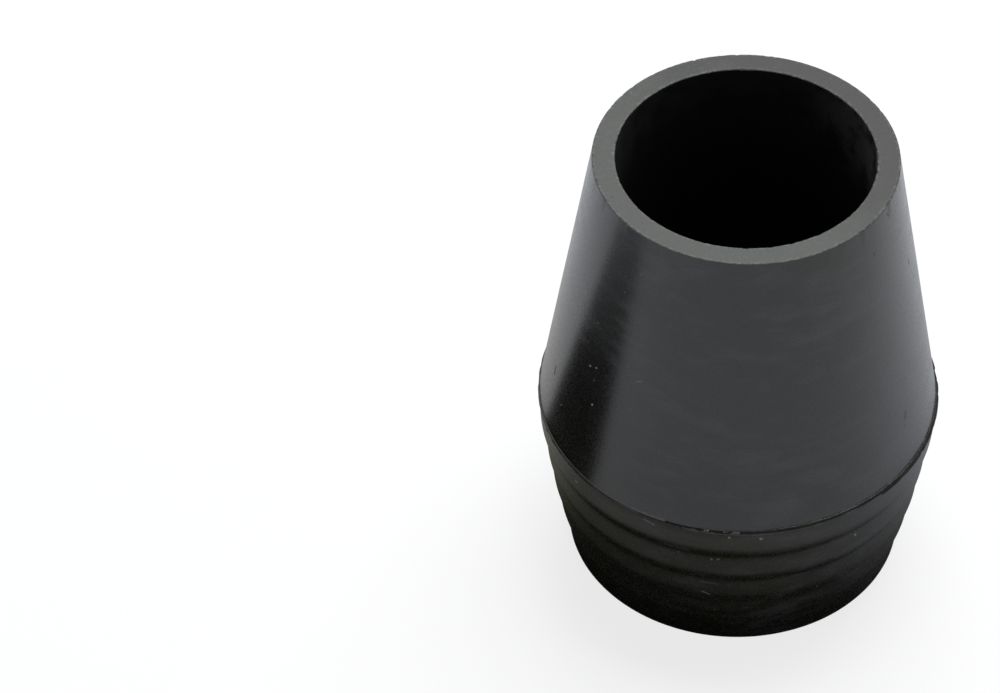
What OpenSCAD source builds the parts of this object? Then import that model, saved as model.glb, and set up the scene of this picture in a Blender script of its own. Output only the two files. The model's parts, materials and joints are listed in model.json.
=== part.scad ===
// Rubber foot for the leg of a drum stand, moulded in one piece. A blind socket
// is pushed over the end of the leg's round tube. Outside it a straight cone
// widens down to a thin lip, and below the lip a stack of bands steps in to a
// flat sole. The foot stands on its sole at z = 0, and the socket opens upwards.

/* [Whole foot] */
// Height from the sole to the mouth
foot_h = 45; // [40:0.5:56]
// Diameter where the cone meets the bands
rim_d = 35.2; // [33:0.1:42]

/* [Socket] */
// Diameter of the socket, which grips the tube
socket_d = 22.2; // [19:0.1:25.4]
// Depth of the socket below the mouth
socket_depth = 32; // [24:0.5:34]
// Wall round the socket at the mouth
mouth_wall = 2; // [1.4:0.05:3]
// Radius of the mouth's two edges
mouth_edge_r = 0.15; // [0.05:0.05:0.4]
// Radius in the corner of the socket's floor
floor_corner_r = 1; // [0.4:0.1:3]

/* [Bands] */
// Height from the sole to the edge of the second band
band1_h = 4.2; // [3:0.1:6]
// Height from there to the edge of the third band
band2_h = 3; // [2:0.1:5]
// Height from there to the edge of the fourth band
band3_h = 3.3; // [2:0.1:5]
// Height from there to the edge of the fifth band
band4_h = 3.6; // [2:0.1:5]
// Height from there to the lip
band5_h = 2.7; // [2:0.1:5]
// How far the second band stands out past the first, on the radius
step1 = 0.83; // [0.2:0.01:1]
// How far the third band stands out past the second
step2 = 0.58; // [0.2:0.01:1]
// How far the fourth band stands out past the third
step3 = 0.48; // [0.2:0.01:1]
// How far the fifth band stands out past the fourth
step4 = 0.56; // [0.2:0.01:1]
// How much each band widens towards the lip, on the radius
band_draft = 0.04; // [0:0.02:0.3]
// Angle of the shoulder under each step, from the foot's axis
shoulder_slope = 34; // [30:1:60]
// Radius of the outer edge of each step
step_edge_r = 2.8; // [0.1:0.1:4]
// Radius of the sole's edge
sole_edge_r = 0.8; // [0.2:0.1:1.2]

/* [Lip] */
// Height of the lip
lip_h = 0.5; // [0.3:0.1:1.5]
// How far the lip stands out past the cone
lip_out = 0.25; // [0.1:0.05:1]
// Radius of the lip's two edges
lip_edge_r = 0.12; // [0.05:0.01:0.14]

/* [Hidden] */

rubber = [0.11, 0.11, 0.115];
arc_steps = 3;

rim_r = rim_d / 2;
socket_r = socket_d / 2;
mouth_r = socket_r + mouth_wall;
floor_z = foot_h - socket_depth;

band_h = [band1_h, band2_h, band3_h, band4_h, band5_h];
steps = [step1, step2, step3, step4];
bands = len(band_h);
lip_z = edge_z(bands);
cone_z = lip_z + lip_h;

// Sum of a list from entry a up to, but not including, entry b
function sum(list, a, b) = a >= b ? 0 : list[a] + sum(list, a + 1, b);

// Height and radius of the lower edge of a band, counted from 0 at the sole
function edge_z(i) = sum(band_h, 0, i);
function edge_r(i) = rim_r - band_draft * (bands - i) - sum(steps, i, bands - 1);

// Radius and height of the top of a band, where the shoulder under the next one starts
function crease_r(i) = edge_r(i) + band_draft;
function crease_z(i) = edge_z(i + 1) - (edge_r(i + 1) - crease_r(i)) / tan(shoulder_slope);

// The arc that rounds corner b between its neighbours a and c, with at most that
// length of each side taken up
function unit(v) = v / norm(v);
function corner_arc(a, b, c, radius, room) =
    let (
        u = unit(a - b),
        v = unit(c - b),
        half = acos(max(-1, min(1, u * v))) / 2,
        r = min(radius, room * tan(half)),
        centre = b + unit(u + v) * r / sin(half),
        from = unit(b + u * r / tan(half) - centre),
        to = unit(b + v * r / tan(half) - centre),
        turn = 180 - 2 * half
    )
    [for (k = [0 : arc_steps])
        let (t = k / arc_steps)
        centre + r * (from * sin((1 - t) * turn) + to * sin(t * turn)) / sin(turn)];

// A closed outline of [radius, height, corner radius] entries, with its corners
// rounded. A corner takes half of a side at most, or most of it next to a sharp corner.
function rounded(outline) =
    let (n = len(outline), at = [for (p = outline) [p[0], p[1]]])
    [for (k = [0 : n - 1])
        let (
            before = (k + n - 1) % n,
            after = (k + 1) % n,
            radius = outline[k][2],
            room = min(free_side(outline, at, k, before), free_side(outline, at, k, after))
        )
        each radius > 0 ? corner_arc(at[before], at[k], at[after], radius, room) : [at[k]]];
function free_side(outline, at, k, other) =
    norm(at[other] - at[k]) * (outline[other][2] > 0 ? 0.5 : 0.94);

// Half of the foot's section, from the middle of the sole outwards and up, then
// down the socket's wall to the middle of its floor
function section() = rounded(concat(
    [[0, 0, 0], [edge_r(0), 0, sole_edge_r]],
    [for (i = [1 : bands - 1]) each [
        [crease_r(i - 1), crease_z(i - 1), 0],
        [edge_r(i), edge_z(i), step_edge_r]]],
    [
        [rim_r, lip_z, 0],
        [rim_r + lip_out, lip_z, lip_edge_r],
        [rim_r + lip_out, cone_z, lip_edge_r],
        [rim_r, cone_z, 0],
        [mouth_r, foot_h, mouth_edge_r],
        [socket_r, foot_h, mouth_edge_r],
        [socket_r, floor_z, floor_corner_r],
        [0, floor_z, 0]
    ]
));

module foot() {
    color(rubber)
        rotate_extrude($fn = 180)
            polygon(section());
}

foot();
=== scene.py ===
"""Black rubber foot for a stand's leg: one moulding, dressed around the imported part, on a white table."""
import json
import math

import bpy
from bpy.props import FloatProperty, FloatVectorProperty, IntProperty, PointerProperty
from mathutils import Matrix, Vector


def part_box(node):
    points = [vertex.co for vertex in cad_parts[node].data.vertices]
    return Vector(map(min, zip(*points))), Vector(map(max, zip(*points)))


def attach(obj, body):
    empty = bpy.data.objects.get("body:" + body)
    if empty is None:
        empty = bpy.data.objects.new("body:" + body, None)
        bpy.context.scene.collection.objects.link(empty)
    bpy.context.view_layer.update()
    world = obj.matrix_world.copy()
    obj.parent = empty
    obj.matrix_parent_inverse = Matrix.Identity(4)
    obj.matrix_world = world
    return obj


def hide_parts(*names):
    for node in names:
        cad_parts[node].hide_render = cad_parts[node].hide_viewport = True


bl_info = {
    "name": "Stand foot",
    "version": (1, 0, 0),
    "blender": (4, 5, 0),
    "location": "3D View > Sidebar > Stand foot",
    "description": "Builds a moulded rubber foot with its bands, lip and socket, "
                   "and a white table to show it on",
    "category": "Add Mesh",
}

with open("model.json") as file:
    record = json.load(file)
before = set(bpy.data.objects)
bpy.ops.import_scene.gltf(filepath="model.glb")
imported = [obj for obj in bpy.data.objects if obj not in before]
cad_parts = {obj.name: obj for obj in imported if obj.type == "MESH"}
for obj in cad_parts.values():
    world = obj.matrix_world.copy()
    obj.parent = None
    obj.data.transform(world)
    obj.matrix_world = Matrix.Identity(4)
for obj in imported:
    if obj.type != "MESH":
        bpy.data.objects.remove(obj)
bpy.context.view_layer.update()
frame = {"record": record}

MM = 0.001
BODY = "root"
NODE = "foot"
BANDS = 5
WHITE, BLACK = (1, 1, 1, 1), (0, 0, 0, 1)

foot_low, foot_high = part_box(NODE)
socket_mount = next(m for m in frame["record"]["mounts"] if m["kind"] == "bore")


def length_setting(default_mm, label, what, low_mm=0.0):
    """A length that the user can change, given in millimetres."""
    return FloatProperty(name=label, description=what, default=default_mm * MM, min=low_mm * MM,
                         unit="LENGTH", precision=5)


def angle_setting(default_degrees, label, what):
    """An angle that the user can change, given in degrees."""
    return FloatProperty(name=label, description=what, default=math.radians(default_degrees), unit="ROTATION")


def share_setting(default, label, what):
    """A share from 0 to 1 that the user can change."""
    return FloatProperty(name=label, description=what, default=default, min=0, max=1)


def strength_setting(default, label, what):
    """A strength of light that the user can change."""
    return FloatProperty(name=label, description=what, default=default, min=0)


def colour_setting(default, label, what):
    """A colour that the user can change."""
    return FloatVectorProperty(name=label, description=what, default=default, size=3, subtype="COLOR",
                               min=0, max=1)


class FootSizes(bpy.types.PropertyGroup):
    """Sizes of the foot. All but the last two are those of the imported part."""
    height: length_setting(foot_high.z / MM, "Height", "Height from the sole to the mouth", 20)
    lip_diameter: length_setting((foot_high.x - foot_low.x) / MM, "Lip diameter", "Diameter over the lip", 20)
    socket_diameter: length_setting(2 * socket_mount["dims"]["r_mm"], "Socket diameter",
                                    "Diameter of the socket for the tube", 10)
    socket_depth: length_setting(32, "Socket depth", "Depth of the socket below the mouth")
    mouth_wall: length_setting(2, "Mouth wall", "Wall round the socket at the mouth")
    mouth_edge: length_setting(0.15, "Mouth edge", "Radius of the mouth's two edges")
    floor_corner: length_setting(1, "Floor corner", "Radius in the corner of the socket's floor")
    band1: length_setting(4.2, "Band 1", "Height from the sole to the edge of the second band")
    band2: length_setting(3, "Band 2", "Height from there to the edge of the third band")
    band3: length_setting(3.3, "Band 3", "Height from there to the edge of the fourth band")
    band4: length_setting(3.6, "Band 4", "Height from there to the edge of the fifth band")
    band5: length_setting(2.7, "Band 5", "Height from there to the lip")
    step1: length_setting(0.83, "Step 1", "How far the second band stands out past the first")
    step2: length_setting(0.58, "Step 2", "How far the third band stands out past the second")
    step3: length_setting(0.48, "Step 3", "How far the fourth band stands out past the third")
    step4: length_setting(0.56, "Step 4", "How far the fifth band stands out past the fourth")
    draft: length_setting(0.04, "Draft", "How much each band widens towards the lip, on the radius")
    shoulder: angle_setting(34, "Shoulder slope", "Angle of the shoulders from the foot's axis")
    step_edge: length_setting(2.8, "Step edge", "Radius of the outer edge of each step")
    sole_edge: length_setting(0.8, "Sole edge", "Radius of the sole's edge")
    lip_height: length_setting(0.5, "Lip height", "Height of the lip")
    lip_out: length_setting(0.25, "Lip", "How far the lip stands out past the cone")
    lip_edge: length_setting(0.12, "Lip edge", "Radius of the lip's two edges")
    crease: length_setting(1.0, "Crease", "How far down each band the crease above it is eased")
    turns: IntProperty(name="Turn steps", description="Number of faces round the foot", default=540, min=24)


class FootFinish(bpy.types.PropertyGroup):
    """Colours, roughness and wear of the rubber."""
    moulded: colour_setting((0.0044, 0.0044, 0.0020), "Moulded rubber", "Colour of the cone and the bands")
    # This colour is also lifted into painted light on the right of the cone.
    hazed_and_painted_light: colour_setting((0.026, 0.027, 0.030), "Hazed rubber", "Colour of the moulded rubber under smears")
    faced: colour_setting((0.037, 0.039, 0.037), "Matt faces", "Colour of the mouth and the sole")
    # This colour is also the painted light that lightens one side of the faces.
    dust_and_painted_light: colour_setting((0.066, 0.071, 0.067), "Dusty faces", "Colour of the mouth and the sole under dust")
    inside: colour_setting((0.003, 0.003, 0.003), "Socket", "Colour inside the socket")
    lip: colour_setting((0.011, 0.0105, 0.0095), "Lip", "Colour of the trimmed lip")
    dust: colour_setting((0.36, 0.37, 0.36), "Dust", "Colour of dust, lint and scuffs")
    roughness: share_setting(0.26, "Moulded roughness", "Roughness of the cone and the bands")
    lip_wear: length_setting(0.12, "Lip wear", "How far the lip's edge is torn away in places")
    unevenness: length_setting(0.03, "Unevenness", "How far the moulded surface wanders")
    nicks: length_setting(0.07, "Nicks", "Depth of the nicks in the mouth's edges")


class TableSettings(bpy.types.PropertyGroup):
    """The table, the lights and the camera."""
    table_size: length_setting(4000, "Table", "Width of the white table top")
    top_light: strength_setting(10.0, "Top light", "Radiance of the softbox overhead")
    room_light: strength_setting(0.05, "Room light", "Strength of the white surroundings")
    shadow: share_setting(0.20, "Shadow", "Share of the table's shadow that the camera sees")
    lens: length_setting(169.2, "Lens", "Focal length of the camera")
    sensor: length_setting(36, "Sensor", "Width of the camera's sensor")
    camera_side: length_setting(-21.07, "Camera side", "Place of the camera along X", -2000)
    camera_back: length_setting(-292.4, "Camera back", "Place of the camera along Y", -2000)
    camera_height: length_setting(315.75, "Camera height", "Height of the camera above the table")
    camera_tilt: angle_setting(45.07, "Camera tilt", "How far the camera looks down")
    camera_roll: angle_setting(-0.80, "Camera roll", "How far the camera leans")


# Specks of lint and dust on the side: angle round the foot from the front in degrees, height and size in mm,
# and how strongly each shows. A speck's line ends a little further round and up, by SPECK_REACH.
SPECKS = (
    (-68, 34.6, 0.13, 0.9), (-42, 41.2, 0.08, 0.4), (-48, 38.4, 0.07, 0.3), (-58, 33.3, 0.08, 0.4),
    (-63, 31.7, 0.07, 0.5), (-61, 30.6, 0.07, 0.3), (-58, 28.5, 0.11, 0.9), (-55, 28.9, 0.12, 0.9),
    (-42, 31.4, 0.07, 0.4), (-55, 27.5, 0.08, 0.4), (-54, 25.0, 0.11, 0.9), (-39, 27.3, 0.07, 0.4),
    (-69, 21.4, 0.10, 0.6), (-14, 16.8, 0.10, 0.6), (-5, 16.4, 0.10, 0.7), (4, 16.2, 0.12, 0.8),
    (-10, 12.8, 0.10, 0.5), (-8, 12.9, 0.08, 0.5), (-56, 15.6, 0.14, 0.5), (-32, 17.0, 0.11, 0.5),
    (-28, 17.2, 0.11, 0.5), (35, 12.6, 0.13, 0.8), (24, 6.9, 0.09, 0.6), (-20, 13.0, 0.07, 0.3),
    (47, 30.0, 0.07, 0.3), (88, 26.0, 0.08, 0.4), (140, 31.0, 0.10, 0.6), (171, 24.5, 0.09, 0.5),
    (-118, 29.0, 0.11, 0.7), (-152, 19.0, 0.09, 0.5), (118, 12.4, 0.11, 0.6),
)
SPECK_REACH = (0.2, 0.04)
# Fibres, scuffs and hairlines: angle and height of each end, then the width in mm and the strength.
FIBRES = (
    ((-38, 30.4), (-36, 30.7), 0.06, 0.5), ((-13, 9.2), (-8, 9.1), 0.10, 0.12),
    ((-12.7, 7.9), (-10.2, 7.6), 0.06, 0.5), ((56, 43.5), (64, 42.9), 0.05, 0.2),
    ((-30, 16.4), (-27, 16.2), 0.10, 0.3), ((150, 35.0), (157, 37.0), 0.05, 0.3),
    ((-100, 23.0), (-93, 23.6), 0.06, 0.3),
)
# Small dark marks, painted near black and rougher, given in the same way.
DARK_MARKS = (
    ((57.0, 22.9), (56.6, 22.4), 0.26, 0.3), ((56.2, 21.7), (56.0, 21.5), 0.15, 0.25),
    ((-78, 23.5), (-77.7, 22.7), 0.14, 0.5), ((61, 44.2), (62, 43.8), 0.10, 0.5),
    ((74, 36.4), (74, 35.9), 0.14, 0.4), ((50, 41.9), (50, 41.6), 0.12, 0.4),
    ((101, 33.0), (103, 32.2), 0.14, 0.4), ((-160, 27.0), (-158, 26.4), 0.14, 0.4),
)


class Wiring:
    """Adds nodes to a tree. An input is given by name or number, as a value or as another node's output."""

    def __init__(self, tree):
        self.tree = tree

    def add(self, kind, inputs=None, **settings):
        node = self.tree.nodes.new(kind)
        for name, value in settings.items():
            setattr(node, name, value)
        for key, value in (inputs or {}).items():
            if isinstance(value, bpy.types.NodeSocket):
                self.tree.links.new(value, node.inputs[key])
            else:
                node.inputs[key].default_value = value
        return node

    def math(self, operation, *values):
        return self.add("ShaderNodeMath", dict(enumerate(values)), operation=operation).outputs[0]

    def plus(self, a, b):
        return self.math("ADD", a, b)

    def minus(self, a, b):
        return self.math("SUBTRACT", a, b)

    def times(self, a, b):
        return self.math("MULTIPLY", a, b)

    def over(self, a, b):
        return self.math("DIVIDE", a, b)

    def larger(self, a, b):
        return self.math("MAXIMUM", a, b)

    def hypotenuse(self, a, b):
        """Length of a line that goes a one way and b the other way"""
        return self.math("SQRT", self.plus(self.math("POWER", a, 2.0), self.math("POWER", b, 2.0)))

    def vector(self, operation, *values):
        node = self.add("ShaderNodeVectorMath", dict(enumerate(values)), operation=operation)
        return node.outputs["Value" if operation in {"LENGTH", "DISTANCE", "DOT_PRODUCT"} else "Vector"]

    def scaled(self, vector, factor):
        return self.add("ShaderNodeVectorMath", {0: vector, "Scale": factor}, operation="SCALE").outputs[0]

    def split(self, vector):
        """The X, Y and Z of a vector"""
        return self.add("ShaderNodeSeparateXYZ", {0: vector}).outputs

    def joined(self, *parts):
        """The vector with these as its X, Y and Z"""
        return self.add("ShaderNodeCombineXYZ", dict(enumerate(parts))).outputs[0]

    def smooth(self, value, low, high, to_low=0.0, to_high=1.0):
        """value taken smoothly from the range low to high to the range to_low to to_high"""
        node = self.add("ShaderNodeMapRange", {0: value, 1: low, 2: high, 3: to_low, 4: to_high},
                        interpolation_type="SMOOTHSTEP")
        return node.outputs[0]

    def mix(self, share, a, b):
        """Colour a turned into colour b by share"""
        return self.add("ShaderNodeMix", {0: share, 6: a, 7: b}, data_type="RGBA").outputs[2]


def shader_group(name, inputs, outputs):
    """The wiring of a new shader node group with float or vector inputs, and its input and output sockets."""
    tree = bpy.data.node_groups.new(name, "ShaderNodeTree")
    for label, value in inputs.items():
        kind = "NodeSocketVector" if value is None else "NodeSocketFloat"
        socket = tree.interface.new_socket(label, in_out="INPUT", socket_type=kind)
        if value is not None:
            socket.default_value = value
    for label in outputs:
        tree.interface.new_socket(label, in_out="OUTPUT", socket_type="NodeSocketFloat")
    return Wiring(tree), tree.nodes.new("NodeGroupInput").outputs, tree.nodes.new("NodeGroupOutput").inputs


def finish_group(wire, group_out, values):
    """Links each value to the group's output of that name, and gives the finished group."""
    for label, value in values.items():
        wire.tree.links.new(value, group_out[label])
    return wire.tree


# In what follows, a range for smooth() is a low and a high input, then what it gives at both, or 0 and 1 if
# these are left out. Noise mostly lies between 0.3 and 0.7. Left is -X and right is +X, as the camera sees it.
GRAIN_SPAN = (0.3, 0.7)
NOISE_ROUGHNESS = 0.6
GRAIN_DETAIL, BLOTCH_DETAIL = 3.0, 4.0


def grain_group():
    """Fine grain of moulded rubber, with soft blotches under it."""
    sizes = {"Place": None, "Grain Size": 0.2 * MM, "Blotch Size": 4 * MM}
    wire, given, out = shader_group("Rubber grain", sizes, ["Grain", "Blotch"])

    def noise(size, detail):
        return wire.add("ShaderNodeTexNoise", {"Vector": given["Place"], "Scale": wire.over(1.0, size),
                                               "Detail": detail, "Roughness": NOISE_ROUGHNESS}).outputs["Fac"]

    return finish_group(wire, out, {"Grain": noise(given["Grain Size"], GRAIN_DETAIL),
                                    "Blotch": noise(given["Blotch Size"], BLOTCH_DETAIL)})


SPECK_SPREAD = (0.0, 1.0, 0.45, 1.3)  # a speck's own size, as a share of the size asked for
SPECK_EDGE = (0.5, 1.0)  # where a speck fades, as a share of its own size


def dust_group():
    """Scattered specks of dust: a mask that is 1 on a speck."""
    sizes = {"Place": None, "Spacing": 2 * MM, "Speck Size": 0.06 * MM, "Share": 0.3}
    wire, given, out = shader_group("Dust specks", sizes, ["Mask"])
    cells = wire.add("ShaderNodeTexVoronoi", {
        "Vector": given["Place"], "Scale": wire.over(1.0, given["Spacing"]), "Randomness": 1.0}).outputs
    pick = wire.add("ShaderNodeSeparateColor", {0: cells["Color"]}).outputs
    away = wire.times(cells["Distance"], given["Spacing"])
    reach = wire.times(given["Speck Size"], wire.smooth(pick[1], *SPECK_SPREAD))
    spot = wire.minus(1.0, wire.smooth(wire.over(away, reach), *SPECK_EDGE))
    chosen = wire.math("LESS_THAN", pick[0], given["Share"])
    return finish_group(wire, out, {"Mask": wire.times(spot, chosen)})


STREAK_NOISE = {"Scale": 1.0, "Detail": 6.0, "Roughness": 0.62, "Distortion": 0.4}
STREAKS = (0.40, 0.68)


def smear_group():
    """Smears that run round the foot: a mask of soft streaks, longer than they are high."""
    wire, given, out = shader_group("Smears", {"Place": None, "Length": 5 * MM, "Height": 1.2 * MM}, ["Mask"])
    place = wire.split(given["Place"])
    flat = wire.joined(wire.over(place[0], given["Length"]), wire.over(place[1], given["Length"]),
                       wire.over(place[2], given["Height"]))
    streaks = wire.add("ShaderNodeTexNoise", {"Vector": flat, **STREAK_NOISE}).outputs["Fac"]
    return finish_group(wire, out, {"Mask": wire.smooth(streaks, *STREAKS)})


RAGGED_NOISE = {"Scale": 9000.0, "Detail": 1.0}
RAGGED_SPREAD = (0.3, 0.7, 0.6, 1.3)  # a mark's width along its way, as a share of the width asked for
MARK_EDGE = (0.4, 1.1)  # where a mark fades, as a share of its width


def mark_group():
    """A mark on the line from one point to another: a mask that is 1 on it and fades at its ragged edge."""
    ends = {"Place": None, "Start": None, "End": None, "Width": 0.1 * MM}
    wire, given, out = shader_group("Mark", ends, ["Mask"])
    along = wire.vector("SUBTRACT", given["End"], given["Start"])
    across = wire.vector("SUBTRACT", given["Place"], given["Start"])
    share = wire.over(wire.vector("DOT_PRODUCT", across, along), wire.vector("DOT_PRODUCT", along, along))
    held = wire.larger(0.0, wire.math("MINIMUM", 1.0, share))
    away = wire.vector("DISTANCE", across, wire.scaled(along, held))
    ragged = wire.add("ShaderNodeTexNoise", {"Vector": given["Place"], **RAGGED_NOISE}).outputs["Fac"]
    reach = wire.times(given["Width"], wire.smooth(ragged, *RAGGED_SPREAD))
    return finish_group(wire, out, {"Mask": wire.minus(1.0, wire.smooth(wire.over(away, reach), *MARK_EDGE))})


def ring_group():
    """Mask that is 1 on a circle round the foot's axis and fades to 0 within its reach."""
    sizes = {"Place": None, "Ring Radius": 13 * MM, "Ring Height": 45 * MM, "Reach": 0.4 * MM}
    wire, given, out = shader_group("Near ring", sizes, ["Mask"])
    place = wire.split(given["Place"])
    radius = wire.hypotenuse(place[0], place[1])
    out_by, up_by = wire.minus(radius, given["Ring Radius"]), wire.minus(place[2], given["Ring Height"])
    away = wire.over(wire.hypotenuse(out_by, up_by), given["Reach"])
    return finish_group(wire, out, {"Mask": wire.minus(1.0, wire.smooth(away, 0.0, 1.0))})


def use_group(wire, group, place, **values):
    """Places a shared group in a material, fed with the place on the piece."""
    node = wire.add("ShaderNodeGroup")
    node.node_tree = group
    wire.tree.links.new(place, node.inputs["Place"])
    for label, value in values.items():
        node.inputs[label.replace("_", " ").title()].default_value = value
    return node.outputs


NEAR_HEIGHT = 0.9 * MM  # how near in height a section's point may stand in for one at the height asked for


def on_side(outline, angle, height):
    """The point of the foot's side at an angle from the front and a height."""
    radius = max(p.x for p in outline if abs(p.y - height) < NEAR_HEIGHT)
    for a, b in zip(outline, outline[1:]):
        if a.y <= height < b.y:
            radius = a.x + (b.x - a.x) * (height - a.y) / (b.y - a.y)
            break
    turn = math.radians(angle)
    return Vector((radius * math.sin(turn), -radius * math.cos(turn), height))


def add_marks(wire, group, place, outline, marks):
    """The strongest of the marks at a place, each on a straight line between two points of the side."""
    strongest = None
    for start, end, width, strength in marks:
        start, end = (on_side(outline, angle, height * MM) for angle, height in (start, end))
        mark = use_group(wire, group, place, start=start, end=end, width=width * MM)["Mask"]
        mask = wire.times(mark, strength)
        strongest = mask if strongest is None else wire.larger(strongest, mask)
    return strongest


def new_rubber(name, colour, specular):
    """A new material with its wiring, its shader and the place on the piece."""
    material = bpy.data.materials.new(name)
    material.use_nodes = True
    material.diffuse_color = tuple(colour) + (1,)
    shader = material.node_tree.nodes["Principled BSDF"]
    shader.inputs["Specular IOR Level"].default_value = specular
    wire = Wiring(material.node_tree)
    return material, wire, shader, wire.add("ShaderNodeTexCoord").outputs["Object"]


def set_surface(wire, shader, colour, roughness, grain, depth):
    """Links the finished colour, roughness and grain to the shader."""
    bump = wire.add("ShaderNodeBump", {"Strength": 1.0, "Distance": depth, "Height": grain})
    values = {"Base Color": colour, "Roughness": roughness, "Normal": bump.outputs["Normal"]}
    for socket, value in values.items():
        wire.tree.links.new(value, shader.inputs[socket])


def tone(colour, share=1.0):
    """A colour with its brightness changed."""
    return tuple(c * share for c in colour) + (1,)


SIDE_SPECULAR = 0.56
SIDE_GRAIN = {"grain_size": 0.22 * MM, "blotch_size": 6 * MM}
SIDE_SMEARS = {"length": 5 * MM, "height": 1.4 * MM}
SIDE_DUST = {"spacing": 1.3 * MM, "speck_size": 0.07 * MM, "share": 0.25}
SIDE_DEPTH = 0.006 * MM
HAZE_BLOTCHES = (0.38, 0.62, 0.15, 1.0)  # the smears are hazier over blotches
HAZE_SHADE_ACROSS = (-14 * MM, -5 * MM)  # and thin out to the left: painted shade, darker low on the left
HAZE_LIGHT_UP = (20 * MM, 34 * MM, 0.12, 1.25)  # except high on the cone, where they grow thicker than elsewhere: painted light towards the top
RIGHT_LIGHT_ACROSS = (7 * MM, 15.5 * MM)  # painted light: the right side is lighter, in blotches
RIGHT_LIGHT_BLOTCHES = (0.3, 0.6, 0.6, 0.9)
RIGHT_LIGHT_UP = (17 * MM, 22 * MM, 0.4, 1.0)
RIGHT_LIGHT_TONE = 1.5
PALE_GRAIN, PALE_TONE = (0.45, 0.75, 0.0, 0.35), 1.6
DUST_STRENGTH = 0.22
ROUGHNESS_SPREAD, HAZE_ROUGHENS, MARKS_ROUGHEN = 0.04, 0.05, 0.65


def side_rubber(groups, finish, outline):
    """Satin moulded rubber: fine grain, smears round the foot, dust and lint, and a few dark marks. The smears
    carry painted shade low on the left and painted light high on the cone, and painted light lightens the
    right side.
    """
    material, wire, shader, place = new_rubber("moulded rubber", finish.moulded, SIDE_SPECULAR)
    surface = use_group(wire, groups["grain"], place, **SIDE_GRAIN)
    smears = use_group(wire, groups["smears"], place, **SIDE_SMEARS)["Mask"]
    haze_and_painted_shading = wire.times(smears, wire.smooth(surface["Blotch"], *HAZE_BLOTCHES))
    at = wire.split(place)
    # painted shade and light: the smears thin out low on the left and grow thicker high on the cone
    haze_and_painted_shading = wire.times(haze_and_painted_shading, wire.larger(wire.smooth(at[0], *HAZE_SHADE_ACROSS), wire.smooth(at[2], *HAZE_LIGHT_UP)))
    colour = wire.mix(haze_and_painted_shading, tone(finish.moulded), tone(finish.hazed_and_painted_light))
    # painted light on the right of the cone, above the lip, in blotches
    right_painted_light = wire.times(wire.smooth(at[0], *RIGHT_LIGHT_ACROSS), wire.smooth(surface["Blotch"], *RIGHT_LIGHT_BLOTCHES))
    right_painted_light = wire.times(right_painted_light, wire.smooth(at[2], *RIGHT_LIGHT_UP))
    colour = wire.mix(right_painted_light, colour, tone(finish.hazed_and_painted_light, RIGHT_LIGHT_TONE))
    colour = wire.mix(wire.smooth(surface["Grain"], *PALE_GRAIN), colour, tone(finish.hazed_and_painted_light, PALE_TONE))
    dust = use_group(wire, groups["dust"], place, **SIDE_DUST)["Mask"]
    specks = [((turn, up), (turn + SPECK_REACH[0], up + SPECK_REACH[1]), size, strength)
              for turn, up, size, strength in SPECKS]
    lint = add_marks(wire, groups["mark"], place, outline, (*specks, *FIBRES))
    dark_marks = add_marks(wire, groups["mark"], place, outline, DARK_MARKS)
    light = wire.larger(wire.times(dust, DUST_STRENGTH), lint)
    colour = wire.mix(light, wire.mix(dark_marks, colour, BLACK), tone(finish.dust))
    rough = wire.smooth(surface["Grain"], *GRAIN_SPAN, finish.roughness - ROUGHNESS_SPREAD,
                        finish.roughness + ROUGHNESS_SPREAD)
    rough = wire.plus(rough, wire.times(haze_and_painted_shading, HAZE_ROUGHENS))
    rough = wire.plus(rough, wire.times(wire.larger(dark_marks, light), MARKS_ROUGHEN))
    set_surface(wire, shader, colour, rough, surface["Grain"], SIDE_DEPTH)
    return material


FACE_SPECULAR = 0.35
FACE_GRAIN = {"grain_size": 0.28 * MM, "blotch_size": 4 * MM}
FACE_DARK_SPECKS = {"spacing": 0.9 * MM, "speck_size": 0.11 * MM, "share": 0.30}
FACE_CRUMBS = {"spacing": 1.4 * MM, "speck_size": 0.08 * MM, "share": 0.35}
FACE_DEPTH = 0.012 * MM
FACE_ROUGHNESS = (0.56, 0.70)
PAINTED_LIGHT_SIDE = (-0.75, -0.6)  # painted light: the faces are lighter towards this side, along X and Y
PAINTED_LIGHT_WANDER = (0.3, 0.7, -5 * MM, 5 * MM)
PAINTED_LIGHT_EDGE = (-9 * MM, 8 * MM)
DARK_GRAIN, DARK_TONE = (0.30, 0.70, 0.30, 0.0), 0.35
LIGHT_GRAIN, LIGHT_TONE = (0.50, 0.75, 0.0, 0.30), 2.0
DARK_SPECK_STRENGTH, DARK_SPECK_TONE = 0.8, 0.2
CRUMB_STRENGTH, CRUMB_TONE = 0.45, 0.6
SCUFF_REACH, SCUFFS = 0.35 * MM, (0.45, 0.65, 0.0, 0.5)


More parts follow.
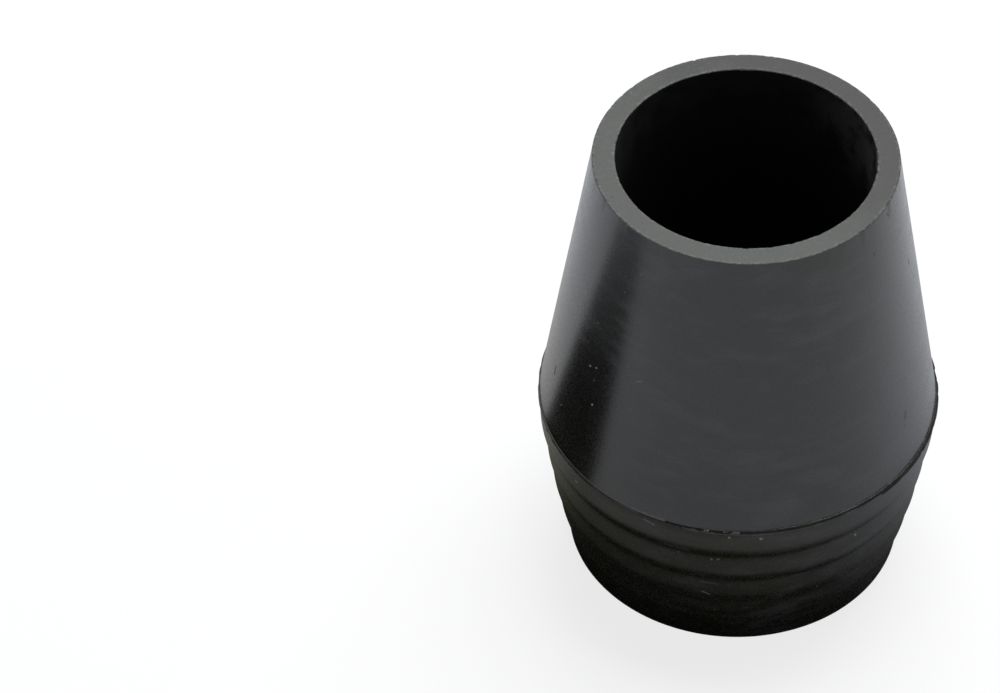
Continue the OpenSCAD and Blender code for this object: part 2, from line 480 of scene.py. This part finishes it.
def face_rubber(groups, finish, sizes):
    """Matt cut rubber: coarse grain with dark specks, pale grain like dust, painted light that lightens one
    side, and scuffed edges.
    """
    material, wire, shader, place = new_rubber("matt rubber face", finish.faced, FACE_SPECULAR)
    surface = use_group(wire, groups["grain"], place, **FACE_GRAIN)
    at = wire.split(place)
    # painted light: the front left of the faces is lighter, with a wandering edge
    painted_light_lean = wire.plus(wire.times(at[0], PAINTED_LIGHT_SIDE[0]), wire.times(at[1], PAINTED_LIGHT_SIDE[1]))
    painted_light_lean = wire.plus(painted_light_lean, wire.smooth(surface["Blotch"], *PAINTED_LIGHT_WANDER))
    colour = wire.mix(wire.smooth(painted_light_lean, *PAINTED_LIGHT_EDGE), tone(finish.faced), tone(finish.dust_and_painted_light))
    colour = wire.mix(wire.smooth(surface["Grain"], *DARK_GRAIN), colour, tone(finish.faced, DARK_TONE))
    colour = wire.mix(wire.smooth(surface["Grain"], *LIGHT_GRAIN), colour, tone(finish.dust_and_painted_light, LIGHT_TONE))
    # dark specks scattered on the faces
    dark_specks = use_group(wire, groups["dust"], place, **FACE_DARK_SPECKS)["Mask"]
    colour = wire.mix(wire.times(dark_specks, DARK_SPECK_STRENGTH), colour, tone(finish.faced, DARK_SPECK_TONE))
    crumbs = use_group(wire, groups["dust"], place, **FACE_CRUMBS)["Mask"]
    edges = [use_group(wire, groups["ring"], place, ring_radius=radius, ring_height=sizes.height,
                       reach=SCUFF_REACH)["Mask"]
             for radius in (sizes.socket_diameter / 2, sizes.socket_diameter / 2 + sizes.mouth_wall)]
    scuffs = wire.times(wire.larger(*edges), wire.smooth(surface["Grain"], *SCUFFS))
    light = wire.larger(wire.times(crumbs, CRUMB_STRENGTH), scuffs)
    colour = wire.mix(light, colour, tone(finish.dust, CRUMB_TONE))
    rough = wire.smooth(surface["Grain"], *GRAIN_SPAN, *FACE_ROUGHNESS)
    set_surface(wire, shader, colour, rough, surface["Grain"], FACE_DEPTH)
    return material


SOCKET_SPECULAR = 0.10
SOCKET_GRAIN = {"grain_size": 0.3 * MM, "blotch_size": 3 * MM}
SOCKET_DUST = {"spacing": 1.4 * MM, "speck_size": 0.10 * MM, "share": 0.3}
SOCKET_DEPTH = 0.006 * MM
SOCKET_ROUGHNESS = (0.64, 0.76)
RUB_AND_LIGHT_LOW, RUB_AND_LIGHT_HIGH, RUB_AND_LIGHT_SHARE = 9 * MM, 1 * MM, 0.9  # below the mouth, and the largest share: wear and painted light, lighter towards the mouth
SOCKET_LIGHT_ACROSS = (5 * MM, 9 * MM, 0.12, 1.0)  # painted light: the right side of the socket is lighter
RUB_AND_LIGHT_BLOTCHES = (0.35, 0.6)
RUB_AND_LIGHT_TONE = 3.8
SOCKET_DUST_STRENGTH = 0.7


def socket_rubber(groups, finish, sizes):
    """Dull rubber inside the socket, a little worn and with dust near the mouth, where painted light lightens
    it, most on the right.
    """
    material, wire, shader, place = new_rubber("socket rubber", finish.inside, SOCKET_SPECULAR)
    surface = use_group(wire, groups["grain"], place, **SOCKET_GRAIN)
    at = wire.split(place)
    # wear and painted light: lighter near the mouth and on the right
    rubbed_and_painted_light = wire.smooth(at[2], sizes.height - RUB_AND_LIGHT_LOW, sizes.height - RUB_AND_LIGHT_HIGH, 0.0, RUB_AND_LIGHT_SHARE)
    rubbed_and_painted_light = wire.times(rubbed_and_painted_light, wire.smooth(at[0], *SOCKET_LIGHT_ACROSS))
    rubbed_and_painted_light = wire.times(rubbed_and_painted_light, wire.smooth(surface["Blotch"], *RUB_AND_LIGHT_BLOTCHES))
    colour = wire.mix(rubbed_and_painted_light, tone(finish.inside), tone(finish.faced, RUB_AND_LIGHT_TONE))
    dust = use_group(wire, groups["dust"], place, **SOCKET_DUST)["Mask"]
    colour = wire.mix(wire.times(dust, wire.times(rubbed_and_painted_light, SOCKET_DUST_STRENGTH)), colour, tone(finish.dust))
    rough = wire.smooth(surface["Grain"], *GRAIN_SPAN, *SOCKET_ROUGHNESS)
    set_surface(wire, shader, colour, rough, surface["Grain"], SOCKET_DEPTH)
    return material


LIP_SPECULAR = 0.20
LIP_GRAIN = {"grain_size": 0.3 * MM, "blotch_size": 2 * MM}
LIP_DEPTH = 0.01 * MM
LIP_ROUGHNESS = (0.72, 0.88)
LIP_BLOTCHES, LIP_TONES = (0.35, 0.65), (0.6, 1.6)


def lip_rubber(groups, finish):
    """Dull dark rubber where the moulding's edge was trimmed."""
    material, wire, shader, place = new_rubber("trimmed rubber lip", finish.lip, LIP_SPECULAR)
    surface = use_group(wire, groups["grain"], place, **LIP_GRAIN)
    darker, lighter = (tone(finish.lip, share) for share in LIP_TONES)
    colour = wire.mix(wire.smooth(surface["Blotch"], *LIP_BLOTCHES), darker, lighter)
    rough = wire.smooth(surface["Grain"], *GRAIN_SPAN, *LIP_ROUGHNESS)
    set_surface(wire, shader, colour, rough, surface["Grain"], LIP_DEPTH)
    return material


def foot_materials(finish, sizes):
    """The four finishes of the one moulding, by the place where each shows."""
    groups = {"grain": grain_group(), "dust": dust_group(), "ring": ring_group(), "mark": mark_group(),
              "smears": smear_group()}
    return {"Side": side_rubber(groups, finish, section(sizes)), "Face": face_rubber(groups, finish, sizes),
            "Socket": socket_rubber(groups, finish, sizes), "Lip": lip_rubber(groups, finish)}


def edge_height(sizes, band):
    """Height of the lower edge of a band, counted from 0 at the sole."""
    return sum((sizes.band1, sizes.band2, sizes.band3, sizes.band4, sizes.band5)[:band])


def edge_radius(sizes, band):
    """Radius of the lower edge of a band, counted from 0 at the sole."""
    steps = (sizes.step1, sizes.step2, sizes.step3, sizes.step4)
    return rim_radius(sizes) - sizes.draft * (BANDS - band) - sum(steps[band:])


def rim_radius(sizes):
    """Radius where the cone meets the bands."""
    return sizes.lip_diameter / 2 - sizes.lip_out


# Steps of the arc at each kind of corner. SHARP stands for none, ON_FLAT for a point that isn't a corner, and
# a corner with steps but no radius is an eased crease.
SOLE_ARC, STEP_ARC, CREASE_ARC, LIP_ARC, MOUTH_ARC, FLOOR_ARC, SHARP, ON_FLAT = 8, 10, 4, 3, 4, 5, 0, -1
FLAT_ROW = 0.45 * MM  # how far in from its edges the mouth's flat face has a row of points
LONGEST_STRETCH = 1.6 * MM  # the longest stretch of the section between two points
SHARP_GAP = 0.02 * MM  # how close the two points that keep a corner sharp lie to it
ARC_MARGIN, ARC_MARGIN_SHARE = 0.1 * MM, 0.02  # how far past an arc a point lies: at most, and of the room
# How much of the side to another corner a rounding may take, where the other one is round, a crease after it,
# a crease before it, or sharp.
TO_ROUND, TO_CREASE_AFTER, TO_CREASE_BEFORE, TO_SHARP = 0.48, 0.50, 0.78, 0.92
# How much of the band below it, and of the first millimetre above it, an eased crease may take.
EASED_BELOW, EASED_ABOVE = 0.45, 0.2


def corner(before, at, after, radius, steps, room):
    """The arc that rounds a corner within the room beside it, with one more point at each of its ends."""
    back, on = (before - at).normalized(), (after - at).normalized()
    half = math.acos(max(-1.0, min(1.0, back.dot(on)))) / 2
    radius = min(radius, room * math.tan(half))
    if radius == 0:
        return [at + back * SHARP_GAP, at, at + on * SHARP_GAP]
    reach = radius / math.tan(half)
    centre = at + (back + on).normalized() * radius / math.sin(half)
    start, end = at + back * reach - centre, at + on * reach - centre
    turn = math.pi - 2 * half
    arc = []
    for k in range(steps + 1):
        t = k / steps
        arc.append(centre + (start * math.sin((1 - t) * turn) + end * math.sin(t * turn)) / math.sin(turn))
    margin = min(ARC_MARGIN, ARC_MARGIN_SHARE * room + max(0, room - reach) / 2)
    return [arc[0] + back * margin, *arc, arc[-1] + on * margin]


def section(sizes):
    """Half of the foot's section as points (radius, height).

    It runs from the middle of the sole outwards, up the side, and down the socket to the middle of its floor.
    """
    socket = sizes.socket_diameter / 2
    mouth = socket + sizes.mouth_wall
    socket_floor = sizes.height - sizes.socket_depth
    lip_z = edge_height(sizes, BANDS)
    cone_z = lip_z + sizes.lip_height
    rim = rim_radius(sizes)
    lip = sizes.lip_diameter / 2
    outline = [(0, 0, 0, SHARP), (edge_radius(sizes, 0), 0, sizes.sole_edge, SOLE_ARC)]
    for band in range(1, BANDS):
        crease, edge = edge_radius(sizes, band - 1) + sizes.draft, edge_radius(sizes, band)
        drop = (edge - crease) / math.tan(sizes.shoulder)
        outline.append((crease, edge_height(sizes, band) - drop, 0, CREASE_ARC))
        outline.append((edge, edge_height(sizes, band), sizes.step_edge, STEP_ARC))
    outline += [
        (rim, lip_z, 0, SHARP),
        (lip, lip_z, sizes.lip_edge, LIP_ARC),
        (lip, cone_z, sizes.lip_edge, LIP_ARC),
        (rim, cone_z, 0, SHARP),
        (mouth, sizes.height, sizes.mouth_edge, MOUTH_ARC),
        (mouth - FLAT_ROW, sizes.height, 0, ON_FLAT),
        (socket + FLAT_ROW, sizes.height, 0, ON_FLAT),
        (socket, sizes.height, sizes.mouth_edge, MOUTH_ARC),
        (socket, socket_floor, sizes.floor_corner, FLOOR_ARC),
        (0, socket_floor, 0, SHARP),
    ]
    at = [Vector((r, z)) for r, z, _, _ in outline]
    points = [at[0]]
    for k in range(1, len(outline) - 1):
        radius, steps = outline[k][2:]
        if steps == ON_FLAT:
            points.append(at[k])
            continue
        if radius == 0 and steps > 0:
            points += eased(at[k - 1], at[k], at[k + 1], sizes.crease, steps)
            continue
        room = min((at[j] - at[k]).length * free_share(outline, k, j) for j in (k - 1, k + 1))
        points += corner(at[k - 1], at[k], at[k + 1], radius, steps, room)
    points.append(at[-1])
    return split_long(points, LONGEST_STRETCH)


def free_share(outline, k, other):
    """How much of the side from corner k to another corner the rounding of corner k may take."""
    if outline[other][2] > 0:
        return TO_ROUND
    if outline[other][3] > 0:
        return TO_CREASE_AFTER if other > k else TO_CREASE_BEFORE
    return TO_SHARP


def eased(before, at, after, reach, steps):
    """A crease that starts softly on the band below it and ends shortly above it, on the shoulder."""
    down, up = before - at, after - at
    start = at + down.normalized() * min(reach, EASED_BELOW * down.length)
    end = at + up.normalized() * EASED_ABOVE * min(MM, up.length)
    shares = (k / steps for k in range(steps + 1))
    return [start * (1 - t) ** 2 + at * 2 * t * (1 - t) + end * t ** 2 for t in shares]


def split_long(points, longest):
    """The same line with its long stretches cut into even parts."""
    line = [points[0]]
    for a, b in zip(points, points[1:]):
        parts = max(1, math.ceil((b - a).length / longest))
        line += [a.lerp(b, k / parts) for k in range(1, parts + 1)]
    return line


def section_mesh(sizes):
    """The section as a line of points in the XZ plane."""
    points = section(sizes)
    mesh = bpy.data.meshes.new("foot section")
    edges = [(k, k + 1) for k in range(len(points) - 1)]
    mesh.from_pydata([(p.x, 0, p.y) for p in points], edges, [])
    return mesh


SEED = 3.0  # moves the noise of the wear
FLOAT_INPUTS = ("Unevenness", "Lip Wear", "Nicks", "Rim Radius", "Lip Height", "Lip Thickness",
                "Mouth Height", "Mouth Radius", "Socket Radius", "Seed")
MATERIAL_INPUTS = ("Side", "Face", "Socket", "Lip")


def turned_tree():
    """Geometry Nodes that turn the section round Z, wear its edges and give each zone its material."""
    tree = bpy.data.node_groups.new("Turned foot", "GeometryNodeTree")
    tree.is_modifier = True
    face = tree.interface
    face.new_socket("Section", in_out="INPUT", socket_type="NodeSocketGeometry")
    face.new_socket("Turn Steps", in_out="INPUT", socket_type="NodeSocketInt")
    for label in FLOAT_INPUTS:
        face.new_socket(label, in_out="INPUT", socket_type="NodeSocketFloat")
    for label in MATERIAL_INPUTS:
        face.new_socket(label, in_out="INPUT", socket_type="NodeSocketMaterial")
    face.new_socket("Foot", in_out="OUTPUT", socket_type="NodeSocketGeometry")
    wire = Wiring(tree)
    given = tree.nodes.new("NodeGroupInput").outputs
    turned = turn_section(wire, given)
    worn = wear_surface(wire, given, turned)
    finished = dress_zones(wire, given, worn)
    tree.links.new(finished, tree.nodes.new("NodeGroupOutput").inputs["Foot"])
    return tree


SEAM_GAP = 0.002 * MM  # points closer than this are one, at the seam and at both poles


def turn_section(wire, given):
    """A grid with a row for each point of the section, laid round Z and closed at its seam and both poles."""
    size = wire.add("GeometryNodeAttributeDomainSize", {0: given["Section"]}, component="MESH")
    count = size.outputs["Point Count"]
    columns = wire.plus(given["Turn Steps"], 1.0)
    grid = wire.add("GeometryNodeMeshGrid", {"Size X": 1.0, "Size Y": 1.0, "Vertices X": count,
                                             "Vertices Y": columns})
    flat = wire.split(wire.add("GeometryNodeInputPosition").outputs[0])
    row = wire.times(wire.plus(flat[0], 0.5), wire.minus(count, 1.0))
    angle = wire.times(wire.plus(flat[1], 0.5), 2 * math.pi)
    sample = wire.add("GeometryNodeSampleIndex", data_type="FLOAT_VECTOR", domain="POINT", clamp=True)
    wire.tree.links.new(given["Section"], sample.inputs["Geometry"])
    wire.tree.links.new(wire.add("GeometryNodeInputPosition").outputs[0], sample.inputs["Value"])
    wire.tree.links.new(wire.math("ROUND", row), sample.inputs["Index"])
    point = wire.split(sample.outputs["Value"])
    place = wire.joined(wire.times(point[0], wire.math("COSINE", angle)),
                        wire.times(point[0], wire.math("SINE", angle)), point[2])
    laid = wire.add("GeometryNodeSetPosition", {"Geometry": grid.outputs["Mesh"], "Position": place})
    closed = wire.add("GeometryNodeMergeByDistance", {"Geometry": laid.outputs[0], "Distance": SEAM_GAP})
    return wire.add("GeometryNodeFlipFaces", {0: closed.outputs[0]}).outputs[0]


WANDER_SIZE, TEAR_SIZE, NICK_SIZE = 9 * MM, 1.6 * MM, 0.6 * MM
NOISE_DETAIL, TEAR_DETAIL = 2.0, 3.0
LIP_START = (0.05 * MM, 0.15 * MM)  # out from the rim
TEARS, CHIPS = (0.50, 0.72), (0.54, 0.72)
# The lip is worn thin at the left, by THIN_LIP, and less so round its far left.
THIN_LIP = 0.18 * MM
THIN_ACROSS = (-7 * MM, -3 * MM, 1.0, 0.0)
THIN_FAR_LEFT = (-17 * MM, -13 * MM, 0.5, 0.0)
NEAR_TOP = (0.05 * MM, 0.22 * MM, 1.0, 0.0)  # down from the mouth
NEAR_EDGE = (0.1 * MM, 0.3 * MM, 1.0, 0.0)  # in or out from the mouth's edges


def wear_surface(wire, given, mesh):
    """Moves the surface inwards a little: soft unevenness, a torn lip and nicks in the mouth's edges."""
    position = wire.add("GeometryNodeInputPosition").outputs[0]
    place = wire.split(position)
    radius = wire.hypotenuse(place[0], place[1])
    moved = wire.vector("ADD", position, wire.joined(given["Seed"]))

    def noise(size, detail=NOISE_DETAIL):
        inputs = {"Vector": moved, "Scale": 1 / size, "Detail": detail}
        return wire.add("ShaderNodeTexNoise", inputs).outputs["Fac"]

    wander = wire.times(noise(WANDER_SIZE), given["Unevenness"])
    on_lip = wire.smooth(wire.minus(radius, given["Rim Radius"]), *LIP_START)
    torn = wire.times(wire.smooth(noise(TEAR_SIZE, TEAR_DETAIL), *TEARS), given["Lip Wear"])
    thin = wire.minus(wire.smooth(place[0], *THIN_ACROSS), wire.smooth(place[0], *THIN_FAR_LEFT))
    lip = wire.times(on_lip, wire.plus(torn, wire.times(thin, THIN_LIP)))
    near_top = wire.smooth(wire.minus(given["Mouth Height"], place[2]), *NEAR_TOP)
    outer = wire.math("ABSOLUTE", wire.minus(radius, given["Mouth Radius"]))
    inner = wire.math("ABSOLUTE", wire.minus(radius, given["Socket Radius"]))
    near_edge = wire.smooth(wire.math("MINIMUM", outer, inner), *NEAR_EDGE)
    chipped = wire.times(wire.smooth(noise(NICK_SIZE), *CHIPS), given["Nicks"])
    nick = wire.times(wire.times(near_edge, near_top), chipped)
    depth = wire.plus(wander, wire.plus(lip, nick))
    normal = wire.add("GeometryNodeInputNormal").outputs[0]
    offset = wire.scaled(normal, wire.times(depth, -1.0))
    return wire.add("GeometryNodeSetPosition", {"Geometry": mesh, "Offset": offset}).outputs[0]


FACE_THICKNESS = 0.08 * MM  # how deep the matt faces reach round their edges
WALL_GAP = 0.03 * MM  # out from the socket's wall, where the mouth's face starts
HOLLOW_FROM = 5 * MM  # the socket's rubber lies above this height
LIP_GAP = 0.02 * MM  # out from the rim, where the lip starts
TRIM_HEIGHT = 0.22 * MM  # the trimmed edge, down from the lip's top
DASH_SIZE, DASH_DETAIL, DASH_LEVEL = 1.3 * MM, 2.0, 0.37
# Along X: the trimmed edge starts, it has no more gaps, and the whole lip is trimmed.
TRIM_FROM, WHOLE_FROM, ALL_LIP_FROM = -7 * MM, 3 * MM, 12 * MM


def dress_zones(wire, given, mesh):
    """Smooth shading, and a material for the side, the two matt faces, the socket and the lip."""
    smooth = wire.add("GeometryNodeSetShadeSmooth", {0: mesh}).outputs[0]
    place = wire.split(wire.add("GeometryNodeInputPosition").outputs[0])
    radius = wire.hypotenuse(place[0], place[1])

    def above(value, limit):
        return wire.math("GREATER_THAN", value, limit)

    top = above(place[2], wire.minus(given["Mouth Height"], FACE_THICKNESS))
    sole = wire.math("LESS_THAN", place[2], FACE_THICKNESS)
    wide = above(radius, wire.plus(given["Socket Radius"], WALL_GAP))
    hollow = wire.times(wire.minus(1.0, wide), above(place[2], HOLLOW_FROM))
    off_lip = above(radius, wire.plus(given["Rim Radius"], LIP_GAP))
    lip_top = wire.plus(given["Lip Height"], given["Lip Thickness"])
    upper = above(place[2], wire.minus(lip_top, TRIM_HEIGHT))
    dashes = wire.add("ShaderNodeTexNoise", {"Scale": 1 / DASH_SIZE, "Detail": DASH_DETAIL}).outputs["Fac"]
    dashed = wire.larger(above(dashes, DASH_LEVEL), above(place[0], WHOLE_FROM))
    dashed = wire.times(dashed, above(place[0], TRIM_FROM))
    trimmed = wire.larger(wire.times(upper, dashed), above(place[0], ALL_LIP_FROM))
    zones = {"Side": None, "Face": wire.larger(wire.times(top, wide), sole), "Socket": hollow,
             "Lip": wire.times(off_lip, trimmed)}
    made = wire.add("GeometryNodeRealizeInstances", {0: smooth}).outputs[0]
    for label, chosen in zones.items():
        inputs = {"Geometry": made, "Material": given[label]}
        if chosen is not None:
            inputs["Selection"] = chosen
        made = wire.add("GeometryNodeSetMaterial", inputs).outputs[0]
    return made


def set_inputs(modifier, values):
    """Sets a Geometry Nodes modifier's inputs, found by name and set by identifier."""
    for item in modifier.node_group.interface.items_tree:
        if item.item_type == "SOCKET" and item.in_out == "INPUT" and item.name in values:
            modifier[item.identifier] = values[item.name]


def plain_mesh(shaped, name):
    """A new object with the evaluated mesh of another, which is removed."""
    graph = bpy.context.evaluated_depsgraph_get()
    mesh = bpy.data.meshes.new_from_object(shaped.evaluated_get(graph))
    mesh.name = name
    piece = bpy.data.objects.new(name, mesh)
    bpy.context.scene.collection.objects.link(piece)
    bpy.data.objects.remove(shaped)
    return piece


class STANDFOOT_OT_foot(bpy.types.Operator):
    """Builds the rubber foot in place of the plain packed one"""
    bl_idname = "standfoot.foot"
    bl_label = "Rubber foot"

    def execute(self, context):
        sizes, finish = context.scene.foot_sizes, context.scene.foot_finish
        shaped = bpy.data.objects.new("foot shape", section_mesh(sizes))
        context.scene.collection.objects.link(shaped)
        modifier = shaped.modifiers.new("Turned foot", "NODES")
        modifier.node_group = turned_tree()
        set_inputs(modifier, {
            "Turn Steps": sizes.turns, "Unevenness": finish.unevenness, "Lip Wear": finish.lip_wear,
            "Nicks": finish.nicks, "Rim Radius": rim_radius(sizes), "Lip Height": edge_height(sizes, BANDS),
            "Lip Thickness": sizes.lip_height, "Mouth Height": sizes.height,
            "Mouth Radius": sizes.socket_diameter / 2 + sizes.mouth_wall,
            "Socket Radius": sizes.socket_diameter / 2, "Seed": SEED, **foot_materials(finish, sizes)})
        piece = plain_mesh(shaped, "rubber_foot")
        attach(piece, BODY)
        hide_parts(NODE)
        return {"FINISHED"}


def plain_sheet(name, corners):
    """A flat sheet for the stage with its corners at four points."""
    mesh = bpy.data.meshes.new(name)
    mesh.from_pydata(corners, [], [(0, 1, 2, 3)])
    sheet = bpy.data.objects.new(name, mesh)
    bpy.context.scene.collection.objects.link(sheet)
    return sheet


def plain_material(name, colour, roughness):
    """A new material without gloss, with its wiring and its shader."""
    material = bpy.data.materials.new(name)
    material.use_nodes = True
    shader = material.node_tree.nodes["Principled BSDF"]
    shader.inputs["Base Color"].default_value = colour
    shader.inputs["Roughness"].default_value = roughness
    shader.inputs["Specular IOR Level"].default_value = 0.0
    return material, Wiring(material.node_tree), shader


TABLE_DROP = 0.01 * MM  # the table lies this far under the sole
TABLE_COLOUR, TABLE_ROUGHNESS = (0.90, 0.915, 0.93, 1), 0.9
# The table as the rubber's gloss mirrors it carries a painted shadow round the foot and gets lighter outwards.
# Distances are in mm from the middle given below, followed by the brightness at both.
SHADOW_MIDDLE = (-2 * MM, -3.6 * MM)
NEAR_LIGHT, FAR_LIGHT = (14, 39.5, 0.02, 0.77), (38, 62, 0.0, 0.23)
# A darker painted shadow lies at the front left: its middle and half sizes along X and Y, then its fading
# edge.
SHADOW_SPOT, SHADOW_SPOT_EDGE = (-13 * MM, -7.8 * MM, 10 * MM, 6 * MM), (0.3, 2.3, 0.55, 1.0)
# The painted reflection is tinted warm close to the foot and cool further out and to the right: in mm out from
# the axis, and along X.
WARM, COOL, FAR_RIGHT = (1, 1, 0.74, 1), (0.91, 0.94, 1, 1), (0.99, 1, 1, 1)
WARM_OUT, WARM_ACROSS = (18, 34), (2 * MM, 14 * MM)
COOL_OUT, COOL_ACROSS = (34, 60), (14 * MM, 26 * MM)
FAR_RIGHT_ACROSS = (40 * MM, 120 * MM)


def table_material(shadow):
    """White table top. The camera sees a share of its shadow. Gloss sees a painted reflection of it instead:
    painted shadow round the foot and at the front left, tinted warm and cool.
    """
    material, wire, shader = plain_material("white table", TABLE_COLOUR, TABLE_ROUGHNESS)
    tree = material.node_tree
    white = wire.add("ShaderNodeEmission", {"Color": WHITE, "Strength": 1.0})
    rays = wire.add("ShaderNodeLightPath").outputs
    share = wire.times(rays["Is Camera Ray"], 1.0 - shadow)
    both = wire.add("ShaderNodeMixShader", {0: share, 1: shader.outputs[0], 2: white.outputs[0]})
    place = wire.split(wire.add("ShaderNodeTexCoord").outputs["Object"])
    # painted shadow in the table's reflection: dark round the foot and at a spot to the front left
    out_by = ellipse(wire, place, *SHADOW_MIDDLE, MM, MM)
    around = wire.plus(wire.smooth(out_by, *NEAR_LIGHT), wire.smooth(out_by, *FAR_LIGHT))
    beside = wire.smooth(ellipse(wire, place, *SHADOW_SPOT), *SHADOW_SPOT_EDGE)
    # painted tint of the table's reflection, warm near the foot and cool further out
    away = ellipse(wire, place, 0.0, 0.0, MM, MM)
    plain = wire.larger(wire.smooth(away, *WARM_OUT), wire.smooth(place[0], *WARM_ACROSS))
    cool = wire.larger(wire.smooth(away, *COOL_OUT), wire.smooth(place[0], *COOL_ACROSS))
    tint = wire.mix(cool, wire.mix(plain, WARM, WHITE), COOL)
    tint = wire.mix(wire.smooth(place[0], *FAR_RIGHT_ACROSS), tint, FAR_RIGHT)
    mirrored = wire.add("ShaderNodeEmission", {"Color": tint, "Strength": wire.times(around, beside)})
    all_rays = wire.add("ShaderNodeMixShader", {0: rays["Is Glossy Ray"], 1: both.outputs[0],
                                                2: mirrored.outputs[0]})
    tree.links.new(all_rays.outputs[0], tree.nodes["Material Output"].inputs["Surface"])
    return material


def ellipse(wire, place, x, y, half_x, half_y):
    """How far out from the middle of an ellipse on the table a place is: 1 on its edge."""
    across, along = wire.over(wire.minus(place[0], x), half_x), wire.over(wire.minus(place[1], y), half_y)
    return wire.hypotenuse(across, along)


# A black sheet that only gloss sees: it paints a dark reflection on the left of the cone and the bands.
CARD_CORNERS_MM = ((-30, -13, 0), (-30, 11, 0), (-30, -5.5, 36), (-30, -15.5, 36))
CARD_COLOUR = (0.01, 0.01, 0.01, 1)
CARD_FADE = (14 * MM, 38 * MM, 0.97, 0.50)  # how solid it is, upwards


def painted_reflection_card():
    """A leaning black blade beside the foot, which fades out upwards and is seen only in gloss: a painted dark
    reflection on the rubber's left side.
    """
    card = plain_sheet("painted_reflection_card", [[c * MM for c in corner_at] for corner_at in CARD_CORNERS_MM])
    material, wire, shader = plain_material("painted reflection card", CARD_COLOUR, 1.0)
    place = wire.split(wire.add("ShaderNodeTexCoord").outputs["Object"])
    wire.tree.links.new(wire.smooth(place[2], *CARD_FADE), shader.inputs["Alpha"])
    card.data.materials.append(material)
    card.visible_camera = card.visible_diffuse = card.visible_shadow = False
    return card


def white_surroundings(strength):
    """A white world: full white where it is seen or mirrored, and the room light's strength elsewhere."""
    world = bpy.data.worlds.new("white room")
    bpy.context.scene.world = world
    world.use_nodes = True
    tree = world.node_tree
    wire = Wiring(tree)
    rays = wire.add("ShaderNodeLightPath").outputs
    seen = wire.larger(rays["Is Camera Ray"], wire.larger(rays["Is Glossy Ray"], rays["Is Transmission Ray"]))
    room = tree.nodes["Background"]
    room.inputs["Strength"].default_value = strength
    room.inputs["Color"].default_value = WHITE
    backdrop = wire.add("ShaderNodeBackground", {"Color": WHITE, "Strength": 1.0})
    both = wire.add("ShaderNodeMixShader", {0: seen, 1: room.outputs[0], 2: backdrop.outputs[0]})
    tree.links.new(both.outputs[0], tree.nodes["World Output"].inputs["Surface"])


SOFTBOX_WIDTH, SOFTBOX_DEPTH = 420 * MM, 340 * MM
SOFTBOX_PLACE, SOFTBOX_AIM = Vector((70 * MM, 180 * MM, 560 * MM)), Vector((0, 0, 20 * MM))


def softbox(name, radiance):
    """A rectangular lamp over the foot, turned towards it, with the radiance that it shows in a mirror."""
    lamp = bpy.data.lights.new(name, "AREA")
    lamp.shape = "RECTANGLE"
    lamp.size, lamp.size_y = SOFTBOX_WIDTH, SOFTBOX_DEPTH
    lamp.energy = radiance * math.pi * SOFTBOX_WIDTH * SOFTBOX_DEPTH
    holder = bpy.data.objects.new(name, lamp)
    holder.location = SOFTBOX_PLACE
    holder.rotation_euler = (SOFTBOX_AIM - SOFTBOX_PLACE).to_track_quat("-Z", "Y").to_euler()
    bpy.context.scene.collection.objects.link(holder)


CLIP_START, CLIP_END = 10 * MM, 20000 * MM


class STANDFOOT_OT_stage(bpy.types.Operator):
    """Sets up the white table, the lights and the camera"""
    bl_idname = "standfoot.stage"
    bl_label = "Table, lights and camera"

    def execute(self, context):
        stage = context.scene.foot_stage
        context.scene.view_settings.view_transform = "Standard"
        half = stage.table_size / 2
        corners = [(x * half, y * half, -TABLE_DROP) for x, y in ((-1, -1), (1, -1), (1, 1), (-1, 1))]
        table = plain_sheet("table", corners)
        table.data.materials.append(table_material(stage.shadow))
        card = painted_reflection_card()
        white_surroundings(stage.room_light)
        softbox("top light", stage.top_light)
        self.camera(context.scene, stage)
        return {"FINISHED"}

    def camera(self, scene, stage):
        camera = bpy.data.cameras.new("camera")
        camera.lens, camera.sensor_width = stage.lens / MM, stage.sensor / MM
        camera.clip_start, camera.clip_end = CLIP_START, CLIP_END
        holder = bpy.data.objects.new("camera", camera)
        place = Matrix.Translation((stage.camera_side, stage.camera_back, stage.camera_height))
        tilt = Matrix.Rotation(math.radians(90) - stage.camera_tilt, 4, "X")
        holder.matrix_world = place @ tilt @ Matrix.Rotation(stage.camera_roll, 4, "Z")
        scene.collection.objects.link(holder)
        scene.camera = holder


class STANDFOOT_PT_panel(bpy.types.Panel):
    """Lists the pieces and the stage in the sidebar"""
    bl_idname = "STANDFOOT_PT_panel"
    bl_label = "Stand foot"
    bl_space_type = "VIEW_3D"
    bl_region_type = "UI"
    bl_category = "Stand foot"

    def draw(self, context):
        for operator in OPERATORS:
            self.layout.operator(operator.bl_idname)
        for group in GROUPS:
            settings = getattr(context.scene, group)
            box = self.layout.box()
            for name in settings.__annotations__:
                box.prop(settings, name)


OPERATORS = (STANDFOOT_OT_foot, STANDFOOT_OT_stage)
GROUPS = {"foot_sizes": FootSizes, "foot_finish": FootFinish, "foot_stage": TableSettings}


def register():
    for made in (*GROUPS.values(), *OPERATORS, STANDFOOT_PT_panel):
        bpy.utils.register_class(made)
    for name, group in GROUPS.items():
        setattr(bpy.types.Scene, name, PointerProperty(type=group))


def unregister():
    for name in GROUPS:
        delattr(bpy.types.Scene, name)
    for made in reversed((*GROUPS.values(), *OPERATORS, STANDFOOT_PT_panel)):
        bpy.utils.unregister_class(made)


def main():
    register()
    bpy.ops.standfoot.foot()
    bpy.ops.standfoot.stage()


if __name__ == "__main__":
    main()
